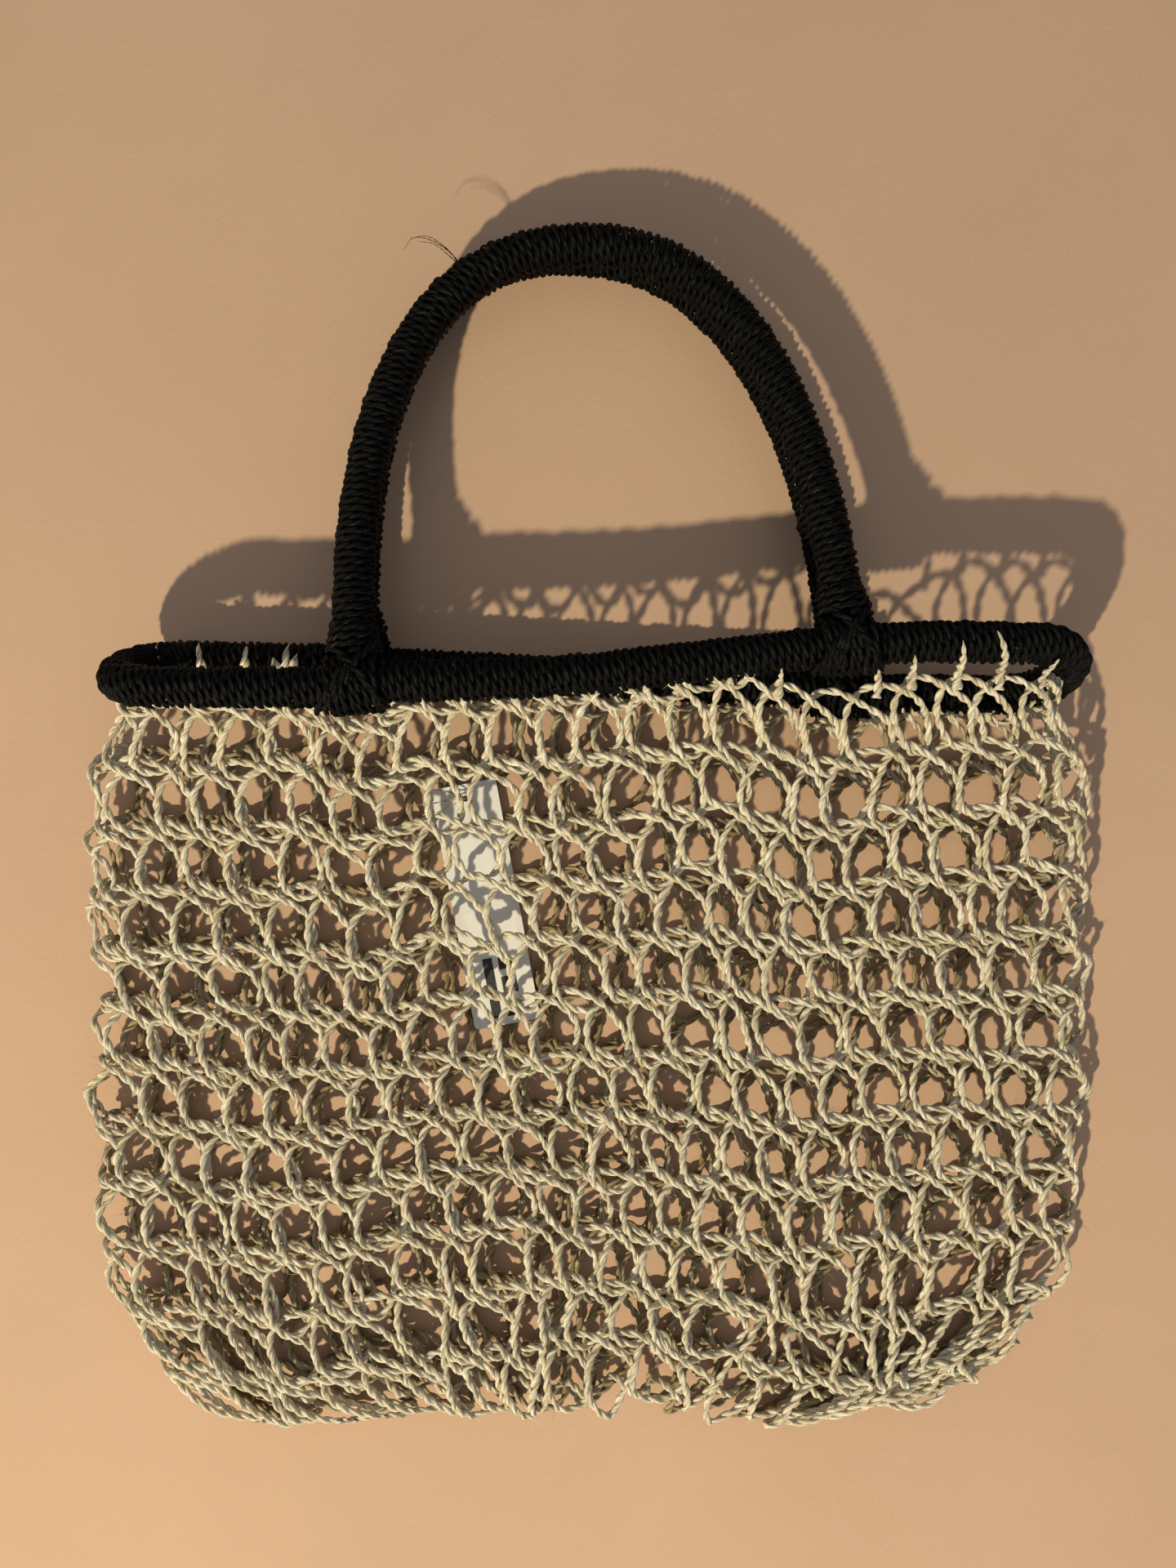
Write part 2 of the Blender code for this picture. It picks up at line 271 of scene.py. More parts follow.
def ring_point(u, v):
    """The bag's surface: u goes once round from the left fold across the front, v goes down."""
    v = np.clip(v, -0.06, 1.0)
    down = np.maximum(v, 0) * NET_LENGTH
    close = (1 - np.clip(v, 0, 1) ** 6) ** 0.25
    high = 7.6 + (7.6 + 33.0 * np.exp(-down / 42)) * close
    low = 3.6 + 8.0 * np.exp(-down / 10)
    round_end = (high - low) / 2
    flat = half_width(v) - round_end
    half_run = 2 * flat + math.pi * round_end
    share = (u % 0.5) * 2
    bend = (math.pi * round_end / 2) / half_run
    into = np.minimum(share, 1 - share)
    angle = np.clip(into / bend, 0, 1) * math.pi / 2
    end = np.where(share < 0.5, -1, 1)
    x = np.where(into < bend, end * (flat + round_end * np.cos(angle)),
                 -flat + (share - bend) / (1 - 2 * bend) * 2 * flat)
    front = (u % 1) < 0.5
    x = np.where(front, x, -x)
    z = (high + low) / 2 + np.where(front, 1, -1) * round_end * np.sin(angle)
    lift = (z - low) / (high - low)
    back_y = np.interp(x, back_rim[:, 0], back_rim[:, 1])
    front_y = np.interp(x, front_rim[:, 0], front_rim[:, 1])
    front_y = front_y - 8.0 * ease((x - 50) / 30)       # at the right the first round hangs free
    left_foot = np.exp(-((x + 87) / 17) ** 4)
    right_foot = np.exp(-((x - 97) / 17) ** 4)
    z = z - 7.5 * (left_foot + right_foot) * lift * np.exp(-down / 24)   # room for a swung handle
    front_y = front_y - 8.0 * left_foot - 3.0 * right_foot
    back_y = back_y - 4.0 * np.exp(-((x + 92) / 14) ** 4) - 4.0 * np.exp(-((x - 102) / 14) ** 4)
    slack = 9.0 * ease((x - 5) / 60) * 4 * v * (1 - v) * (1 - lift)     # the back hangs lower there
    lift = 1 - (1 - lift) * np.exp(-down / 45)          # lower rows of back and front lie level
    top = back_y + lift * (front_y - back_y) - BELOW_AXIS
    base = np.interp(x, BASE_EDGE[:, 0], BASE_EDGE[:, 1])
    return np.stack([x, top + (base - top) * v - slack, z], -1)


def ring_out(u, v, reach=0.004):
    """The direction out of the bag's surface."""
    v = np.clip(v, 0, 1 - reach)
    along = ring_point(u + reach, v) - ring_point(u - reach, v)
    down = ring_point(u, v + reach) - ring_point(u, v - reach)
    return unit(np.cross(down, along))


# %% [markdown]
# ## Looping the net
# Each round is one cord. Hand work is never even, so slow waves push the loops about, together
# in neighbouring rows, and each loop differs a little from the next. At the side folds a stiff
# cord can't turn as sharply as the sheet does, so the loops there stand out past the fold. Near
# the base two knots gather the net, and the loops round each of them lean towards it.

# %% Rounds of loops
WAVES = [(m, n, rng.uniform(0, math.tau), rng.uniform(0, math.tau), rng.uniform(0.4, 1.0))
         for m, n in ((2, 1), (3, 4), (5, 2), (7, 5), (11, 7), (17, 3), (23, 9), (29, 12))]
TAG_PIVOT, TAG_TILT = np.array([-50.5, 15.0]), math.radians(10.6)
TAG_DOWN = np.array([math.sin(TAG_TILT), -math.cos(TAG_TILT)])
TAG_ACROSS = np.array([math.cos(TAG_TILT), math.sin(TAG_TILT)])
BACK_NET_TOP = 9                # lower than this is the back of the net
GATHERS = ((-119, -226, 22, 0.35), (117, -224, 34, 0.72))      # x, y, reach, strength


def drift(u, v):
    """Slow uneven push of the loops across and down, in millimetres."""
    across, down = np.zeros_like(u), np.zeros_like(u)
    for m, n, first, second, size in WAVES:
        across += size * np.sin(math.tau * (m * u + n * v / 2) + first)
        down += size * np.sin(math.tau * (m * u - n * v / 2) + second)
    return across, down


def round_route(row):
    """One round on the flat sheet: share round, share down, and distance out."""
    loop = np.arange(LOOPS)[:, None]
    x, y, out = LOOP_ROUTE.T[:, None, :]
    width = rng.normal(1, 0.075, (LOOPS, 1))
    drop = rng.normal(1, 0.07, (LOOPS, 1))
    lean = rng.normal(0, 1.9, (LOOPS, 1))
    middle = 14.8
    across = middle + (x - middle) * width + lean * y / LOOP_DROP
    u = ((loop + ROW_SHIFT * row) * LOOP_WIDTH + across) / (LOOPS * LOOP_WIDTH)
    if row < 0:                 # the loops on the hoop are short, and stay up where they hang free
        free = ease((u % 1 - 0.315) / 0.03) * ease((0.497 - u % 1) / 0.015)
        y = y.max() - (y.max() - y) * (0.34 - 0.28 * free) - 19.5 * free
    v = (row + y * drop / LOOP_DROP) * ROW_PITCH / NET_LENGTH
    push_across, push_down = drift(u, v)
    settled = np.clip(v * 10, 0, 1)
    back = np.sin(math.tau * np.clip(u % 1 - 0.5, 0, 0.5)) ** 2
    v = v + 0.035 * back * ease((v - 0.68) / 0.2) * (1 - v)
    settled = settled * (1 + 1.3 * ease((v - 0.72) / 0.22))
    u = u + settled * push_across / (4 * half_width(v))
    v = v + settled * push_down / NET_LENGTH
    out = out * rng.normal(1, 0.12, (LOOPS, 1)) + rng.normal(0, 0.25, (LOOPS, 1))
    return np.stack([u, v, out], -1).reshape(-1, 3)


def fine_round(route, parts=6):
    """The same round, smooth and closed."""
    once = np.array([1.0, 0, 0])
    ends = np.concatenate([route[-1:] - once, route, route[:2] + once])
    a, b, c, d = (ends[i:i + len(route), None] for i in range(4))
    t = np.linspace(0, 1, parts, endpoint=False)[:, None]
    fine = 0.5 * (2 * b + (c - a) * t + (2 * a - 5 * b + 4 * c - d) * t ** 2
                  + (3 * b - a - 3 * c + d) * t ** 3)
    return fine.reshape(-1, 3)


def net_round(row):
    u, v, out = fine_round(round_route(row)).T
    up = ring_out(u, v)
    line = ring_point(u, v) + up * out[:, None]
    turned = (u + 0.5) % 1 - 0.5                # share round, measured from the left fold
    span = 4 * half_width(v)
    fold = np.exp(-(turned * span / 9) ** 2) - np.exp(-((abs(turned) - 0.5) * span / 9) ** 2)
    inside_row = np.clip((v * NET_LENGTH - row * ROW_PITCH) / 30, 0, 1)
    swing = 4.6 + 2.2 * np.sin(v * 70 + 1.3)
    line[:, 0] -= fold * swing * np.sin(math.pi * inside_row) * np.clip(row, 0.0, 1)
    for x, y, reach, strength in GATHERS:
        to_knot = np.array([x, y]) - line[:, :2]
        distance = np.linalg.norm(to_knot, axis=1)
        pull = strength * np.exp(-(distance / reach) ** 2)
        line[:, :2] += to_knot * pull[:, None]
        line[:, 2] += 5.0 * pull * (line[:, 2] > 7)
    down_tag = (line[:, :2] - TAG_PIVOT) @ TAG_DOWN
    off_tag = abs((line[:, :2] - TAG_PIVOT) @ TAG_ACROSS)
    under_tag = ease((25 + 0.13 * down_tag - off_tag) / 6) * ease((down_tag + 22) / 6) \
        * ease((118 - down_tag) / 6) * (line[:, 2] < BACK_NET_TOP)
    line[:, 2] += under_tag * (1.85 + 0.05 * line[:, 2] - line[:, 2])
    line[:, 2] = np.maximum(line[:, 2], 1.9)
    for _ in range(6):
        line = 0.5 * line + 0.25 * (np.roll(line, 1, 0) + np.roll(line, -1, 0))
    return line, up


rounds, round_lines = [], []
for row in range(-1, ROWS):
    line, up = net_round(row)
    cord = MeshPile()
    add_cord(cord, line, up, SISAL_RADIUS, SISAL_TWIST, closed=True, tone=rng.uniform(0.3, 0.7))
    piece = cord.build(f"net_round_{row + 1:02d}" if row >= 0 else "net_rim_round")
    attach(piece, "bag")
    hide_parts("net_front", "net_back")
    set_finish(piece, "sisal")
    rounds.append(piece)
    round_lines.append((line, up))
cord_length = sum(run_along(line)[-1] for line, _ in round_lines) / 1000
print("metres of cord in the net:", round(cord_length, 1))


# %% [markdown]
# ## Lacing the base shut
# The two edges of the last round are whipped together by one more cord between the two knots.
# A knot is only a few tight turns of the same cord, one over another.

# %% Base lacing and knots
def around(axis, reference, radius, pitch, per_turn, closed=False):
    """A line wound round an axis, with its outward directions. The pitch may vary along it."""
    run = run_along(np.concatenate([axis, axis[:1]]) if closed else axis)
    turned = np.concatenate([[0], np.cumsum(np.diff(run) / np.broadcast_to(pitch, len(run) - 1))])
    turns = round(turned[-1]) if closed else turned[-1]
    turn = np.linspace(0, turns, int(turns * per_turn) + 1)
    if closed:
        turn = turn[:-1]
    stations = np.interp(turn, turned * turns / turned[-1], run)
    forward = tangents(axis, closed)
    across = unit(reference - np.sum(reference * forward, -1, keepdims=True) * forward)
    other = np.cross(forward, across)

    def at(values):
        values = np.concatenate([values, values[:1]]) if closed else values
        return np.stack([np.interp(stations, run, values[:, i]) for i in range(3)], -1)

    angle = math.tau * turn[:, None]
    out = unit(np.cos(angle) * at(across) + np.sin(angle) * at(other))
    return at(axis) + out * np.reshape(radius, (-1, 1)), out


lacing = MeshPile()
LACING_LINE = ((-117, -227, 9.5), (-80, -224, 8.5), (-30, -225, 8.5), (20, -226, 8.6),
               (70, -225, 8.6), (117, -224, 10.0))
laced, out = around(curve_through(LACING_LINE, 3), np.array([0, 0, 1.0]), 3.2, 19.0, 26)
laced[:, 1] += 1.6 * np.sin(laced[:, 0] / 9.0)
add_cord(lacing, laced, out, SISAL_RADIUS, SISAL_TWIST, tone=0.5)
KNOT = np.array((117.0, -224.0, 12.0))
CORNER_ENDS = ((133, -209, 11), (150, -206, 12), (166, -202, 11), (181, -196, 9), (176, -207, 8),
               (160, -216, 9), (146, -224, 7), (134, -234, 6), (104, -212, 12), (99, -226, 9))
for x, y, z in CORNER_ENDS:
    end = np.array((x, y, z), float)
    share = np.linspace(0, 1, 26)[:, None]
    bow = np.array([0, rng.normal(0, 2.0), rng.uniform(1, 4)])
    strand = KNOT + (end - KNOT) * share + bow * np.sin(math.pi * share)
    add_cord(lacing, strand, np.tile([0, 0.2, 1.0], (26, 1)), SISAL_RADIUS, SISAL_TWIST,
             tone=rng.uniform(0.4, 0.7))
for x, y, z, size in ((-118, -227, 9.5, 3.2), (117, -224, 12.5, 3.0)):
    turn = np.linspace(0, math.tau * 2.6, 70)[:, None]
    knot = np.concatenate([x + size * np.cos(turn) + 0.3 * turn, y + size * 0.8 * np.sin(turn),
                           z + 1.6 * np.sin(turn * 0.5 + 1)], 1)
    add_cord(lacing, knot, np.tile([0, 0, 1.0], (70, 1)), SISAL_RADIUS, SISAL_TWIST, tone=0.55)
print("metres of lacing between the knots:", round(run_along(laced)[-1] / 1000, 2))
base_lacing = lacing.build("base_lacing")
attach(base_lacing, "bag")
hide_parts("foundation_cord")
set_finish(base_lacing, "sisal")


# %% [markdown]
# ## Where the sisal meets the hoop
# The first round is caught under the black winding, and its raw tufts poke out between the
# turns: on top of the front of the hoop at the right, and on the back of the hoop at the left.
# Each is a short cord that thins to a point.

# %% Raw tufts at the hoop
BACK_TUFTS = ((-171, 66.5, 77.0, -1.5), (-154, 66.5, 77.5, -2), (-137, 66.5, 76.0, 0.5),
              (-121, 66.5, 77.0, 1.0), (-118, 66.5, 73.0, 2.0), (-124, 66.5, 71.5, -1.5))
                                # x, from y, to y, lean
TUFT_REACH = (5, 8, 7, 12, 16, 7)
TUFT_ON_FRONT, TUFT_ON_BACK = 9.9, 8.6      # how far from the middle of the hoop a tuft lies on it
tufts = MeshPile()
first_round = round_lines[1][0]
height = first_round[:, 1]
tops = (height > np.roll(height, 1)) & (height >= np.roll(height, -1)) \
    & (first_round[:, 0] > 62) & (first_round[:, 0] < 178) & (first_round[:, 2] > 40)
print("loop tops hanging free of the hoop:", tops.sum())
for number, (x, y, z) in enumerate(first_round[tops]):
    reach = TUFT_REACH[number % len(TUFT_REACH)]
    climb = np.linspace(0, 1, 24)
    rim_y = np.interp(x, front_rim[:, 0], front_rim[:, 1])
    along_y = y - 5 + (reach + 5) * climb
    over = FRONT_RIM_Z + np.sqrt(np.maximum(TUFT_ON_FRONT ** 2 - (along_y - rim_y) ** 2, 0))
    up_z = np.maximum(z + 1.5 + 3 * climb, np.where(abs(along_y - rim_y) < 9.8, over, 0))
    lean = rng.normal(-0.8, 3.2)
    tuft = np.stack([x - 1.6 + 1.6 * climb + lean * climb ** 2, along_y, up_z], -1)
    for _ in range(5):
        tuft[1:-1] = (tuft[:-2] + 2 * tuft[1:-1] + tuft[2:]) / 4
    add_cord(tufts, tuft, np.tile([0, -0.3, 1.0], (24, 1)), 2.0, 8.5, tone=0.6,
             taper=1 - 0.93 * climb ** 2.6)
for x, low_y, high_y, lean in BACK_TUFTS:
    climb = np.linspace(0, 1, 16)
    rim_y = np.interp(x, back_rim[:, 0], back_rim[:, 1])
    y = low_y + (high_y - low_y) * climb
    z = BACK_RIM_Z + np.sqrt(np.maximum(TUFT_ON_BACK ** 2 - (y - rim_y) ** 2, 4.0)) + 0.4
    tuft = np.stack([x + lean * climb, y, z], -1)
    add_cord(tufts, tuft, np.tile([0, 0, 1.0], (16, 1)), 2.2, 13, tone=0.7,
             taper=1 - 0.85 * climb ** 1.5)
rim_tufts = tufts.build("rim_tufts")
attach(rim_tufts, "bag")
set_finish(rim_tufts, "sisal")


# %% [markdown]
# ## Black winding
# The hoop and the handles are wound with a black cord, turn against turn. Each turn is modelled,
# because the outline of the real hoop is a row of small round bumps. The cord is twisted the
# opposite way from the sisal, so its plies lean across every turn.

# %% Winding the hoop
BLACK_RADIUS, BLACK_TWIST = 1.66, -11.5
WIND_RADIUS, WIND_PITCH, BEND_PITCH = 6.6, 2.95, 2.3


def end_bend(first, last, sideways):
    """Half a circle joining two ends of the hoop, bulging to one side."""
    first, last = np.array(first, float), np.array(last, float)
    middle, reach = (first + last) / 2, np.linalg.norm(last - first) / 2
    angle = np.linspace(0, math.pi, 30)[1:-1, None]
    return middle + np.cos(angle) * (first - middle) + np.sin(angle) * reach * np.array(
        [sideways, 0, 0])


def rim_ends(line, z):
    return [*line[0], z], [*line[-1], z]


front_left, front_right = rim_ends(front_rim, FRONT_RIM_Z)
back_left, back_right = rim_ends(back_rim, BACK_RIM_Z)
front_axis = np.column_stack([front_rim, np.full(len(front_rim), FRONT_RIM_Z)])
back_axis = np.column_stack([back_rim, np.full(len(back_rim), BACK_RIM_Z)])
right_bend = end_bend(front_right, back_right, 1)
left_bend = end_bend(back_left, front_left, -1)
hoop_axis = np.concatenate([front_axis, right_bend, back_axis[::-1], left_bend])
hoop_pitch = np.full(len(hoop_axis), WIND_PITCH)       # the turns crowd together round the bends
hoop_pitch[len(front_axis) - 2:len(front_axis) + len(right_bend) + 2] = BEND_PITCH
hoop_pitch[-len(left_bend) - 2:] = BEND_PITCH
hoop_winding, out = around(hoop_axis, np.array([0, 1.0, 0]), WIND_RADIUS, hoop_pitch, 36, closed=True)


def uneven(count, size=0.16):
    """A slow wander, so that no turn sits at quite the same height as the next."""
    wander = np.interp(np.arange(count), np.arange(0, count + 24, 24),
                       rng.normal(0, size, len(np.arange(0, count + 24, 24))))
    return wander[:, None]


hoop_winding = hoop_winding + out * uneven(len(hoop_winding))
black_lines = {"bag": [(hoop_winding, out)], "front_handle": [], "back_handle": []}
half = len(hoop_winding) // 2
for name, part in (("hoop_winding_front", slice(0, half + 2)),
                   ("hoop_winding_back", slice(half, len(hoop_winding)))):
    pile = MeshPile()
    line, away = hoop_winding[part], out[part]
    if part.start:
        line = np.concatenate([line, hoop_winding[:2]])
        away = np.concatenate([away, out[:2]])
    add_cord(pile, line, away, BLACK_RADIUS, BLACK_TWIST, apart=0.43)
    piece = pile.build(name)
    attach(piece, "bag")
    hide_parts("rim_wrap_front", "rim_wrap_back", "rim_wrap_left_end", "rim_wrap_right_end")
    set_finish(piece, "black_cord")
print("turns on the hoop:", round(len(hoop_winding) / 36))
print("metres of cord round the hoop:", round(run_along(hoop_winding)[-1] / 1000, 2))
print("metres of cane in the hoop:", round(run_along(hoop_axis)[-1] / 1000, 3))


# %% [markdown]
# ## The handles and their lashings
# Each handle is an arch of cane wound like the hoop. Where a leg meets the hoop, a band of cord
# goes round the hoop, then crosses the joint slantwise and closes round the foot of the leg.
# The band turns on the hoop with the handle, so it is made in the handle's own frame.

# %% Handle frames and arches
HANDLES = {
    "front": dict(feet=((-87, 58.3), (97.3, 72.6)), z=FRONT_RIM_Z, rise=170, lean=0, tip_z=25.5),
    "back": dict(feet=((-92, 69.3), (102, 58.8)), z=BACK_RIM_Z, rise=172.5, lean=-18, tip_z=8.5),
}
ARCH_POWER = 2.3
LASH_RADIUS = 10.2


def handle_frame(feet, z, rise, tip_z, **rest):
    """Centre and the three directions of a handle: across, up the arch, out of its face."""
    (x0, y0), (x1, y1) = feet
    centre = np.array([(x0 + x1) / 2, (y0 + y1) / 2, z])
    turn, tilt = math.atan2(y1 - y0, x1 - x0), math.asin((tip_z - z) / rise)
    across = np.array([math.cos(turn), math.sin(turn), 0])
    level = np.array([-math.sin(turn), math.cos(turn), 0])
    rising = level * math.cos(tilt) + np.array([0, 0, math.sin(tilt)])
    return centre, across, rising, np.cross(across, rising)


def arch(feet, z, rise, lean, tip_z, start):
    centre, across, rising, _ = handle_frame(feet, z, rise, tip_z)
    half_span = math.dist(*feet) / 2
    low = math.asin((start / rise) ** (ARCH_POWER / 2))
    angle = np.linspace(low, math.pi - low, 160)
    side = -np.sign(np.cos(angle)) * abs(np.cos(angle)) ** (2 / ARCH_POWER)
    up = np.sin(angle) ** (2 / ARCH_POWER)
    flat = np.outer(side * half_span + lean * up, across) + np.outer(up * rise, rising)
    return curve_through(centre + flat, 2)


def band(foot, across, rising, face):
    """Seven turns round the hoop."""
    angle = np.linspace(0, math.tau * 7, 7 * 36)
    along = np.linspace(-9.8, 9.8, len(angle)) + 0.35 * np.sin(angle * 0.37)
    away = np.outer(np.cos(angle), rising) + np.outer(np.sin(angle), face)
    return foot + np.outer(along, across) + away * LASH_RADIUS, away


def collar(leg, face):
    """Turns that close round the foot of a leg, wider where they meet the hoop."""
    line, away = around(leg, face, 1.0, 3.1, 36)
    swell = np.linspace(3.1, 1.0, len(line))[:, None]
    return line + away * (WIND_RADIUS + swell - 1.0), away


def slant(foot, across, rising, face, side, shift):
    """A short turn that crosses the joint slantwise, with both ends tucked in."""
    route = np.array(((-9.5, -10.0, 1.6), (-7, -6.9, 7.7), (-3.5, -1, 10.7), (1, 5, 10.9),
                      (4.8, 9.5, 9.0), (7.4, 12.5, 6.0), (8.4, 14.5, 1.5)))
    route = route * [side, 1, 1]
    route[:, 0] += shift * np.linspace(1, 0.1, len(route))
    route[:, 1] += shift * np.linspace(0, 0.5, len(route))
    line = foot + route[:, :1] * across + route[:, 1:2] * rising + route[:, 2:] * face
    line = curve_through(line, 1.25)
    return line, unit(line - (foot + rising * 2))


for name, frame_of in HANDLES.items():
    centre, across, rising, face = handle_frame(**frame_of)
    axis = arch(**frame_of, start=10.5)
    wound, out = around(axis, face, WIND_RADIUS, WIND_PITCH, 36)
    wound = wound + out * uneven(len(wound))
    black_lines[f"{name}_handle"].append((wound, out))
    pile = MeshPile()
    add_cord(pile, wound, out, BLACK_RADIUS, BLACK_TWIST, apart=0.43)
    piece = pile.build(f"handle_winding_{name}")
    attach(piece, f"{name}_handle")
    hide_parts(f"handle_wrap_{name}")
    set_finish(piece, "black_cord")
    for side_name, foot, leg in (("left", frame_of["feet"][0], axis[:7]),
                                 ("right", frame_of["feet"][1], axis[::-1][:7])):
        foot = np.array([*foot, frame_of["z"]], float)
        pile = MeshPile()
        turns = [band(foot, across, rising, face), collar(leg, face)]
        for shift in (-5.0, -1.6, 1.8):
            turns.append(slant(foot, across, rising, face, 1, shift))
        turns.append(slant(foot, across, rising, face, -1, 2.0))
        for line, away in turns:
            add_cord(pile, line, away, BLACK_RADIUS, BLACK_TWIST, apart=0.43)
        piece = pile.build(f"lashing_cord_{name}_{side_name}")
        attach(piece, f"{name}_handle")
        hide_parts(f"lashing_{name}_{side_name}")
        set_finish(piece, "black_cord")
    print(name, "handle, metres of cane and of cord:", round(run_along(axis)[-1] / 1000, 3),
          round(run_along(wound)[-1] / 1000, 2))
    print(name, "lashing, metres of cord:", round(sum(run_along(line)[-1] for line, _ in turns) / 1000, 2))


# %% [markdown]
# ## The print on the tag, and its tie
# The tag carries a dark printed mark near its foot. It is a plain sign of blocks and bars, laid
# as a film a few hundredths of a millimetre thick. A wisp of raw fibre holds the tag.

# %% Tag print and tie
CARD_TOP = 4.3
MARKS = ((-3.6, 79, 4.0, 25), (3.9, 69.5, 6.2, 5), (3.9, 78.5, 6.2, 7), (3.9, 88.5, 6.2, 6))


def film(name, blocks, height):
    """Thin blocks on the card: (across, down, width, length) of each, from the tag's hole."""
    points, quads = [], []
    for across, down, width, length in blocks:
        first = len(points)
        for z in (CARD_TOP + 0.02, CARD_TOP + 0.02 + height):
            for sx, sy in ((-1, -1), (1, -1), (1, 1), (-1, 1)):
                spot = (TAG_PIVOT + TAG_ACROSS * (across + sx * width / 2)
                        + TAG_DOWN * (down + sy * length / 2))
                points.append((*(spot * MM), z * MM))
        for quad in ((0, 1, 2, 3), (7, 6, 5, 4), (0, 4, 5, 1), (1, 5, 6, 2), (2, 6, 7, 3),
                     (3, 7, 4, 0)):
            quads.append([first + corner for corner in quad])
    mesh = bpy.data.meshes.new(name)
    mesh.from_pydata(points, [], quads)
    thing = bpy.data.objects.new(name, mesh)
    bpy.context.scene.collection.objects.link(thing)
    return thing


tag_print = film("tag_print", MARKS, 0.05)
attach(tag_print, "tag")
wisp = MeshPile()
x, y = TAG_PIVOT
WISPS = (((x, y, 3.9), (x + 0.2, y, 6), (x - 1.5, y, 7.6), (x - 5, y - 0.5, 8.2),
          (x - 14, y - 2, 8.4), (x - 25, y - 3, 7.6)),
         ((x, y, 3.9), (x - 0.3, y + 0.6, 6.2), (x - 3, y + 1.6, 7.8), (x - 10, y + 3.5, 8.2),
          (x - 17, y + 4, 7.8)),
         ((x, y, 3.9), (x - 0.2, y + 0.4, 6), (x - 4, y - 2, 8), (x - 12, y - 6, 8)))
for route in WISPS:
    line = curve_through(route, 1.0)
    add_cord(wisp, line, np.tile([0.1, 1.0, 0.3], (len(line), 1)), 0.42, 6, tone=0.8,
             taper=np.linspace(1, 0.3, len(line)))
tie = wisp.build("tag_wisp")
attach(tie, "bag")
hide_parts("tag_tie")
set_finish(tie, "sisal")
print("marks on the tag:", len(MARKS), "and wisps in its tie:", len(WISPS))


# %% [markdown]
# ## A frayed black end
# One end of the binding cord has worked loose on the arch of the front handle and come apart
# into three fine strands. Each is a thin cord through a few chosen points.

# %% A frayed black end
FRAY = (((-47, 219, 31), (-53, 227, 32.5), (-61, 232.5, 32), (-68, 234, 31), (-72, 230.5, 29)),
        ((-48, 220, 31), (-54, 228, 33), (-62, 233.5, 33), (-69, 233.5, 31.5)),
        ((-46, 219, 31.5), (-54, 226.5, 32), (-60, 231.5, 31), (-66, 233, 30)))
fray = MeshPile()
for route in FRAY:
    line = curve_through(route, 1.0)
    add_cord(fray, line, np.tile([0, 0.2, 1.0], (len(line), 1)), 0.3, -5,
             taper=np.linspace(1, 0.35, len(line)))
print("loose strands:", len(FRAY))
frayed_end = fray.build("frayed_end")
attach(frayed_end, "front_handle")
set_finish(frayed_end, "black_cord")


# %% [markdown]
# ## Loose fibres
# Sisal sheds: fine pale hairs stand off every cord, and a few black ones off the winding. They
# are thin three-sided hairs, bent a little, growing out of the cord they sit on.

# %% Hairs
def add_hair(pile, root, direction, length, bend, radius, tone):
    steps = np.linspace(0, 1, 6)[:, None]
    line = root + direction * length * steps + bend * length * steps ** 2
    forward = tangents(line)
    side = unit(np.cross(forward, [0.31, 0.27, 0.91]))
    up = np.cross(side, forward)
    angle = np.arange(3) * math.tau / 3
    spoke = np.cos(angle)[None, :, None] * side[:, None] + np.sin(angle)[None, :, None] * up[:, None]
    thin = radius * (1 - 0.7 * steps)[..., None]
    points = (line[:, None] + spoke * thin).reshape(-1, 3)
    fibre = np.zeros_like(points)
    fibre[:, 0] = np.repeat(steps[:, 0], 3) * length + root[0]
    pile.add(points, grid_quads(6, 3, False), fibre, tone)


def scatter_hairs(pile, line, out, count, longest, radius, tone):
    for pick in rng.integers(0, len(line), count):
        from_tag = line[pick, :2] - TAG_PIVOT
        if abs(from_tag @ TAG_ACROSS) < 28 and -8 < from_tag @ TAG_DOWN < 112 \
                and line[pick, 2] < BACK_NET_TOP:
            continue
        away = unit(out[pick] + rng.normal(0, 0.9, 3))
        away[2] = abs(away[2])
        bend = rng.normal(0, 0.35, 3)
        bend[2] = -abs(bend[2]) * 0.4
        length = longest * rng.beta(1.6, 3.0) + 1.5
        add_hair(pile, line[pick] + out[pick] * 1.1, away, length, bend, radius, tone)


pale_hairs = MeshPile()
for line, up in round_lines:
    scatter_hairs(pale_hairs, line, up, 190, 9, 0.085, rng.uniform(0.5, 0.9))
print("points in the pale hairs:", pale_hairs.count)
hairs = pale_hairs.build("sisal_hairs")
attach(hairs, "bag")
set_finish(hairs, "sisal")
for body, lines in black_lines.items():
    dark_hairs = MeshPile()
    for line, away in lines:
        scatter_hairs(dark_hairs, line, away, 70, 6, 0.05, 0.5)
    shed = dark_hairs.build(f"black_hairs_{body}")
    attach(shed, body)
    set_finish(shed, "black_cord")


# %% [markdown]
# ## Finishes as plain maths
# Shader nodes are wired by writing ordinary sums. A `Flow` is one output of a node; adding or
# multiplying two flows makes the Math node that does it.

